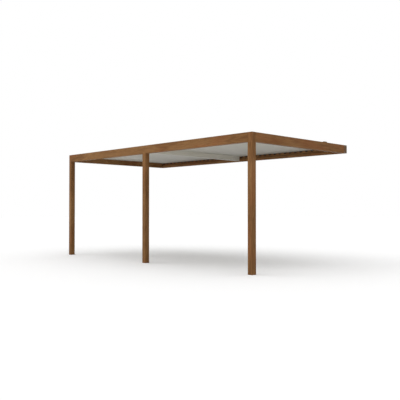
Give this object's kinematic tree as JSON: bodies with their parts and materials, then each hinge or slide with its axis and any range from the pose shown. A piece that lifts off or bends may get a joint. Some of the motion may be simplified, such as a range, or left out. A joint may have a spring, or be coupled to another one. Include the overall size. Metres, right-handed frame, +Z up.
{
  "type": "bioclimatic pergola",
  "caption": "Wall-mounted louvred-roof pergola with square posts in front, wood-effect beams, and roof blades that turn over gutters.",
  "frame": {"origin": "centre of the middle post's foot, on the ground", "axes": "+X to the right along the front, +Y from the front towards the wall, +Z up"},
  "size_m": [6.04, 3.09, 2.525],
  "materials": {
    "wood_effect": "satin wood-grain coating",
    "cream_paint": "matt powder coat",
    "bare_aluminium": "mill finish",
    "dark_plastic": "matt"
  },
  "bodies": {
    "frame": {"post_left": "wood_effect", "post_middle": "wood_effect", "post_right": "wood_effect", "post_foot_left": "bare_aluminium", "post_foot_middle": "bare_aluminium", "post_foot_right": "bare_aluminium", "post_caps": "wood_effect", "front_beam": "wood_effect", "rear_beam": "wood_effect", "rear_beam_end_caps": "dark_plastic", "side_beam_left": "wood_effect", "side_beam_right": "wood_effect", "central_beam": "cream_paint", "beam_brackets": "wood_effect", "pivot_rails_front": "bare_aluminium", "pivot_rails_rear": "bare_aluminium", "starting_strips": "cream_paint", "closing_strips": "cream_paint", "rain_sensor": "dark_plastic"},
    "blade_left_01": {"blade_left_01": "cream_paint"},
    "blade_left_02": {"blade_left_02": "cream_paint"},
    "blade_left_03": {"blade_left_03": "cream_paint"},
    "blade_left_04": {"blade_left_04": "cream_paint"},
    "blade_left_05": {"blade_left_05": "cream_paint"},
    "blade_left_06": {"blade_left_06": "cream_paint"},
    "blade_left_07": {"blade_left_07": "cream_paint"},
    "blade_left_08": {"blade_left_08": "cream_paint"},
    "blade_left_09": {"blade_left_09": "cream_paint"},
    "blade_left_10": {"blade_left_10": "cream_paint"},
    "blade_left_11": {"blade_left_11": "cream_paint"},
    "blade_left_12": {"blade_left_12": "cream_paint"},
    "blade_left_13": {"blade_left_13": "cream_paint"},
    "blade_left_14": {"blade_left_14": "cream_paint"},
    "blade_left_15": {"blade_left_15": "cream_paint"},
    "blade_left_16": {"blade_left_16": "cream_paint"},
    "blade_left_17": {"blade_left_17": "cream_paint"},
    "blade_left_18": {"blade_left_18": "cream_paint"},
    "blade_left_19": {"blade_left_19": "cream_paint"},
    "drive_bar_left": {"drive_bar_left": "bare_aluminium"},
    "blade_right_01": {"blade_right_01": "cream_paint"},
    "blade_right_02": {"blade_right_02": "cream_paint"},
    "blade_right_03": {"blade_right_03": "cream_paint"},
    "blade_right_04": {"blade_right_04": "cream_paint"},
    "blade_right_05": {"blade_right_05": "cream_paint"},
    "blade_right_06": {"blade_right_06": "cream_paint"},
    "blade_right_07": {"blade_right_07": "cream_paint"},
    "blade_right_08": {"blade_right_08": "cream_paint"},
    "blade_right_09": {"blade_right_09": "cream_paint"},
    "blade_right_10": {"blade_right_10": "cream_paint"},
    "blade_right_11": {"blade_right_11": "cream_paint"},
    "blade_right_12": {"blade_right_12": "cream_paint"},
    "blade_right_13": {"blade_right_13": "cream_paint"},
    "blade_right_14": {"blade_right_14": "cream_paint"},
    "blade_right_15": {"blade_right_15": "cream_paint"},
    "blade_right_16": {"blade_right_16": "cream_paint"},
    "blade_right_17": {"blade_right_17": "cream_paint"},
    "blade_right_18": {"blade_right_18": "cream_paint"},
    "blade_right_19": {"blade_right_19": "cream_paint"},
    "drive_bar_right": {"drive_bar_right": "bare_aluminium"}
  },
  "joints": [
    {"name": "turn_left_01", "type": "hinge", "parent": "frame", "child": "blade_left_01", "pos_m": [-2.845, 0, 2.475], "axis": [0, -1, 0], "range_deg": [0, 120]},
    {"name": "turn_left_02", "type": "hinge", "parent": "frame", "child": "blade_left_02", "pos_m": [-2.696, 0, 2.475], "axis": [0, -1, 0], "range_deg": [0, 120]},
    {"name": "turn_left_03", "type": "hinge", "parent": "frame", "child": "blade_left_03", "pos_m": [-2.547, 0, 2.475], "axis": [0, -1, 0], "range_deg": [0, 120]},
    {"name": "turn_left_04", "type": "hinge", "parent": "frame", "child": "blade_left_04", "pos_m": [-2.398, 0, 2.475], "axis": [0, -1, 0], "range_deg": [0, 120]},
    {"name": "turn_left_05", "type": "hinge", "parent": "frame", "child": "blade_left_05", "pos_m": [-2.249, 0, 2.475], "axis": [0, -1, 0], "range_deg": [0, 120]},
    {"name": "turn_left_06", "type": "hinge", "parent": "frame", "child": "blade_left_06", "pos_m": [-2.1, 0, 2.475], "axis": [0, -1, 0], "range_deg": [0, 120]},
    {"name": "turn_left_07", "type": "hinge", "parent": "frame", "child": "blade_left_07", "pos_m": [-1.951, 0, 2.475], "axis": [0, -1, 0], "range_deg": [0, 120]},
    {"name": "turn_left_08", "type": "hinge", "parent": "frame", "child": "blade_left_08", "pos_m": [-1.802, 0, 2.475], "axis": [0, -1, 0], "range_deg": [0, 120]},
    {"name": "turn_left_09", "type": "hinge", "parent": "frame", "child": "blade_left_09", "pos_m": [-1.653, 0, 2.475], "axis": [0, -1, 0], "range_deg": [0, 120]},
    {"name": "roof_left", "type": "hinge", "parent": "frame", "child": "blade_left_10", "pos_m": [-1.504, 0, 2.475], "axis": [0, -1, 0], "range_deg": [0, 120]},
    {"name": "turn_left_11", "type": "hinge", "parent": "frame", "child": "blade_left_11", "pos_m": [-1.355, 0, 2.475], "axis": [0, -1, 0], "range_deg": [0, 120]},
    {"name": "turn_left_12", "type": "hinge", "parent": "frame", "child": "blade_left_12", "pos_m": [-1.206, 0, 2.475], "axis": [0, -1, 0], "range_deg": [0, 120]},
    {"name": "turn_left_13", "type": "hinge", "parent": "frame", "child": "blade_left_13", "pos_m": [-1.057, 0, 2.475], "axis": [0, -1, 0], "range_deg": [0, 120]},
    {"name": "turn_left_14", "type": "hinge", "parent": "frame", "child": "blade_left_14", "pos_m": [-0.908, 0, 2.475], "axis": [0, -1, 0], "range_deg": [0, 120]},
    {"name": "turn_left_15", "type": "hinge", "parent": "frame", "child": "blade_left_15", "pos_m": [-0.759, 0, 2.475], "axis": [0, -1, 0], "range_deg": [0, 120]},
    {"name": "turn_left_16", "type": "hinge", "parent": "frame", "child": "blade_left_16", "pos_m": [-0.61, 0, 2.475], "axis": [0, -1, 0], "range_deg": [0, 120]},
    {"name": "turn_left_17", "type": "hinge", "parent": "frame", "child": "blade_left_17", "pos_m": [-0.461, 0, 2.475], "axis": [0, -1, 0], "range_deg": [0, 120]},
    {"name": "turn_left_18", "type": "hinge", "parent": "frame", "child": "blade_left_18", "pos_m": [-0.312, 0, 2.475], "axis": [0, -1, 0], "range_deg": [0, 120]},
    {"name": "turn_left_19", "type": "hinge", "parent": "frame", "child": "blade_left_19", "pos_m": [-0.163, 0, 2.475], "axis": [0, -1, 0], "range_deg": [0, 120]},
    {"name": "level_left", "type": "hinge", "parent": "blade_left_10", "child": "drive_bar_left", "pos_m": [-1.544, 0.0135, 2.461], "axis": [0, -1, 0], "range_deg": [-120, 0]},
    {"name": "turn_right_01", "type": "hinge", "parent": "frame", "child": "blade_right_01", "pos_m": [0.127, 0, 2.475], "axis": [0, -1, 0], "range_deg": [0, 120]},
    {"name": "turn_right_02", "type": "hinge", "parent": "frame", "child": "blade_right_02", "pos_m": [0.276, 0, 2.475], "axis": [0, -1, 0], "range_deg": [0, 120]},
    {"name": "turn_right_03", "type": "hinge", "parent": "frame", "child": "blade_right_03", "pos_m": [0.425, 0, 2.475], "axis": [0, -1, 0], "range_deg": [0, 120]},
    {"name": "turn_right_04", "type": "hinge", "parent": "frame", "child": "blade_right_04", "pos_m": [0.574, 0, 2.475], "axis": [0, -1, 0], "range_deg": [0, 120]},
    {"name": "turn_right_05", "type": "hinge", "parent": "frame", "child": "blade_right_05", "pos_m": [0.723, 0, 2.475], "axis": [0, -1, 0], "range_deg": [0, 120]},
    {"name": "turn_right_06", "type": "hinge", "parent": "frame", "child": "blade_right_06", "pos_m": [0.872, 0, 2.475], "axis": [0, -1, 0], "range_deg": [0, 120]},
    {"name": "turn_right_07", "type": "hinge", "parent": "frame", "child": "blade_right_07", "pos_m": [1.021, 0, 2.475], "axis": [0, -1, 0], "range_deg": [0, 120]},
    {"name": "turn_right_08", "type": "hinge", "parent": "frame", "child": "blade_right_08", "pos_m": [1.17, 0, 2.475], "axis": [0, -1, 0], "range_deg": [0, 120]},
    {"name": "turn_right_09", "type": "hinge", "parent": "frame", "child": "blade_right_09", "pos_m": [1.319, 0, 2.475], "axis": [0, -1, 0], "range_deg": [0, 120]},
    {"name": "roof_right", "type": "hinge", "parent": "frame", "child": "blade_right_10", "pos_m": [1.468, 0, 2.475], "axis": [0, -1, 0], "range_deg": [0, 120]},
    {"name": "turn_right_11", "type": "hinge", "parent": "frame", "child": "blade_right_11", "pos_m": [1.617, 0, 2.475], "axis": [0, -1, 0], "range_deg": [0, 120]},
    {"name": "turn_right_12", "type": "hinge", "parent": "frame", "child": "blade_right_12", "pos_m": [1.766, 0, 2.475], "axis": [0, -1, 0], "range_deg": [0, 120]},
    {"name": "turn_right_13", "type": "hinge", "parent": "frame", "child": "blade_right_13", "pos_m": [1.915, 0, 2.475], "axis": [0, -1, 0], "range_deg": [0, 120]},
    {"name": "turn_right_14", "type": "hinge", "parent": "frame", "child": "blade_right_14", "pos_m": [2.064, 0, 2.475], "axis": [0, -1, 0], "range_deg": [0, 120]},
    {"name": "turn_right_15", "type": "hinge", "parent": "frame", "child": "blade_right_15", "pos_m": [2.213, 0, 2.475], "axis": [0, -1, 0], "range_deg": [0, 120]},
    {"name": "turn_right_16", "type": "hinge", "parent": "frame", "child": "blade_right_16", "pos_m": [2.362, 0, 2.475], "axis": [0, -1, 0], "range_deg": [0, 120]},
    {"name": "turn_right_17", "type": "hinge", "parent": "frame", "child": "blade_right_17", "pos_m": [2.511, 0, 2.475], "axis": [0, -1, 0], "range_deg": [0, 120]},
    {"name": "turn_right_18", "type": "hinge", "parent": "frame", "child": "blade_right_18", "pos_m": [2.66, 0, 2.475], "axis": [0, -1, 0], "range_deg": [0, 120]},
    {"name": "turn_right_19", "type": "hinge", "parent": "frame", "child": "blade_right_19", "pos_m": [2.809, 0, 2.475], "axis": [0, -1, 0], "range_deg": [0, 120]},
    {"name": "level_right", "type": "hinge", "parent": "blade_right_10", "child": "drive_bar_right", "pos_m": [1.428, 0.0135, 2.461], "axis": [0, -1, 0], "range_deg": [-120, 0]}
  ],
  "couplings": [
    {"joint": "turn_left_01", "follows": "roof_left", "ratio": 1},
    {"joint": "turn_left_02", "follows": "roof_left", "ratio": 1},
    {"joint": "turn_left_03", "follows": "roof_left", "ratio": 1},
    {"joint": "turn_left_04", "follows": "roof_left", "ratio": 1},
    {"joint": "turn_left_05", "follows": "roof_left", "ratio": 1},
    {"joint": "turn_left_06", "follows": "roof_left", "ratio": 1},
    {"joint": "turn_left_07", "follows": "roof_left", "ratio": 1},
    {"joint": "turn_left_08", "follows": "roof_left", "ratio": 1},
    {"joint": "turn_left_09", "follows": "roof_left", "ratio": 1},
    {"joint": "turn_left_11", "follows": "roof_left", "ratio": 1},
    {"joint": "turn_left_12", "follows": "roof_left", "ratio": 1},
    {"joint": "turn_left_13", "follows": "roof_left", "ratio": 1},
    {"joint": "turn_left_14", "follows": "roof_left", "ratio": 1},
    {"joint": "turn_left_15", "follows": "roof_left", "ratio": 1},
    {"joint": "turn_left_16", "follows": "roof_left", "ratio": 1},
    {"joint": "turn_left_17", "follows": "roof_left", "ratio": 1},
    {"joint": "turn_left_18", "follows": "roof_left", "ratio": 1},
    {"joint": "turn_left_19", "follows": "roof_left", "ratio": 1},
    {"joint": "level_left", "follows": "roof_left", "ratio": -1},
    {"joint": "turn_right_01", "follows": "roof_right", "ratio": 1},
    {"joint": "turn_right_02", "follows": "roof_right", "ratio": 1},
    {"joint": "turn_right_03", "follows": "roof_right", "ratio": 1},
    {"joint": "turn_right_04", "follows": "roof_right", "ratio": 1},
    {"joint": "turn_right_05", "follows": "roof_right", "ratio": 1},
    {"joint": "turn_right_06", "follows": "roof_right", "ratio": 1},
    {"joint": "turn_right_07", "follows": "roof_right", "ratio": 1},
    {"joint": "turn_right_08", "follows": "roof_right", "ratio": 1},
    {"joint": "turn_right_09", "follows": "roof_right", "ratio": 1},
    {"joint": "turn_right_11", "follows": "roof_right", "ratio": 1},
    {"joint": "turn_right_12", "follows": "roof_right", "ratio": 1},
    {"joint": "turn_right_13", "follows": "roof_right", "ratio": 1},
    {"joint": "turn_right_14", "follows": "roof_right", "ratio": 1},
    {"joint": "turn_right_15", "follows": "roof_right", "ratio": 1},
    {"joint": "turn_right_16", "follows": "roof_right", "ratio": 1},
    {"joint": "turn_right_17", "follows": "roof_right", "ratio": 1},
    {"joint": "turn_right_18", "follows": "roof_right", "ratio": 1},
    {"joint": "turn_right_19", "follows": "roof_right", "ratio": 1},
    {"joint": "level_right", "follows": "roof_right", "ratio": -1}
  ]
}
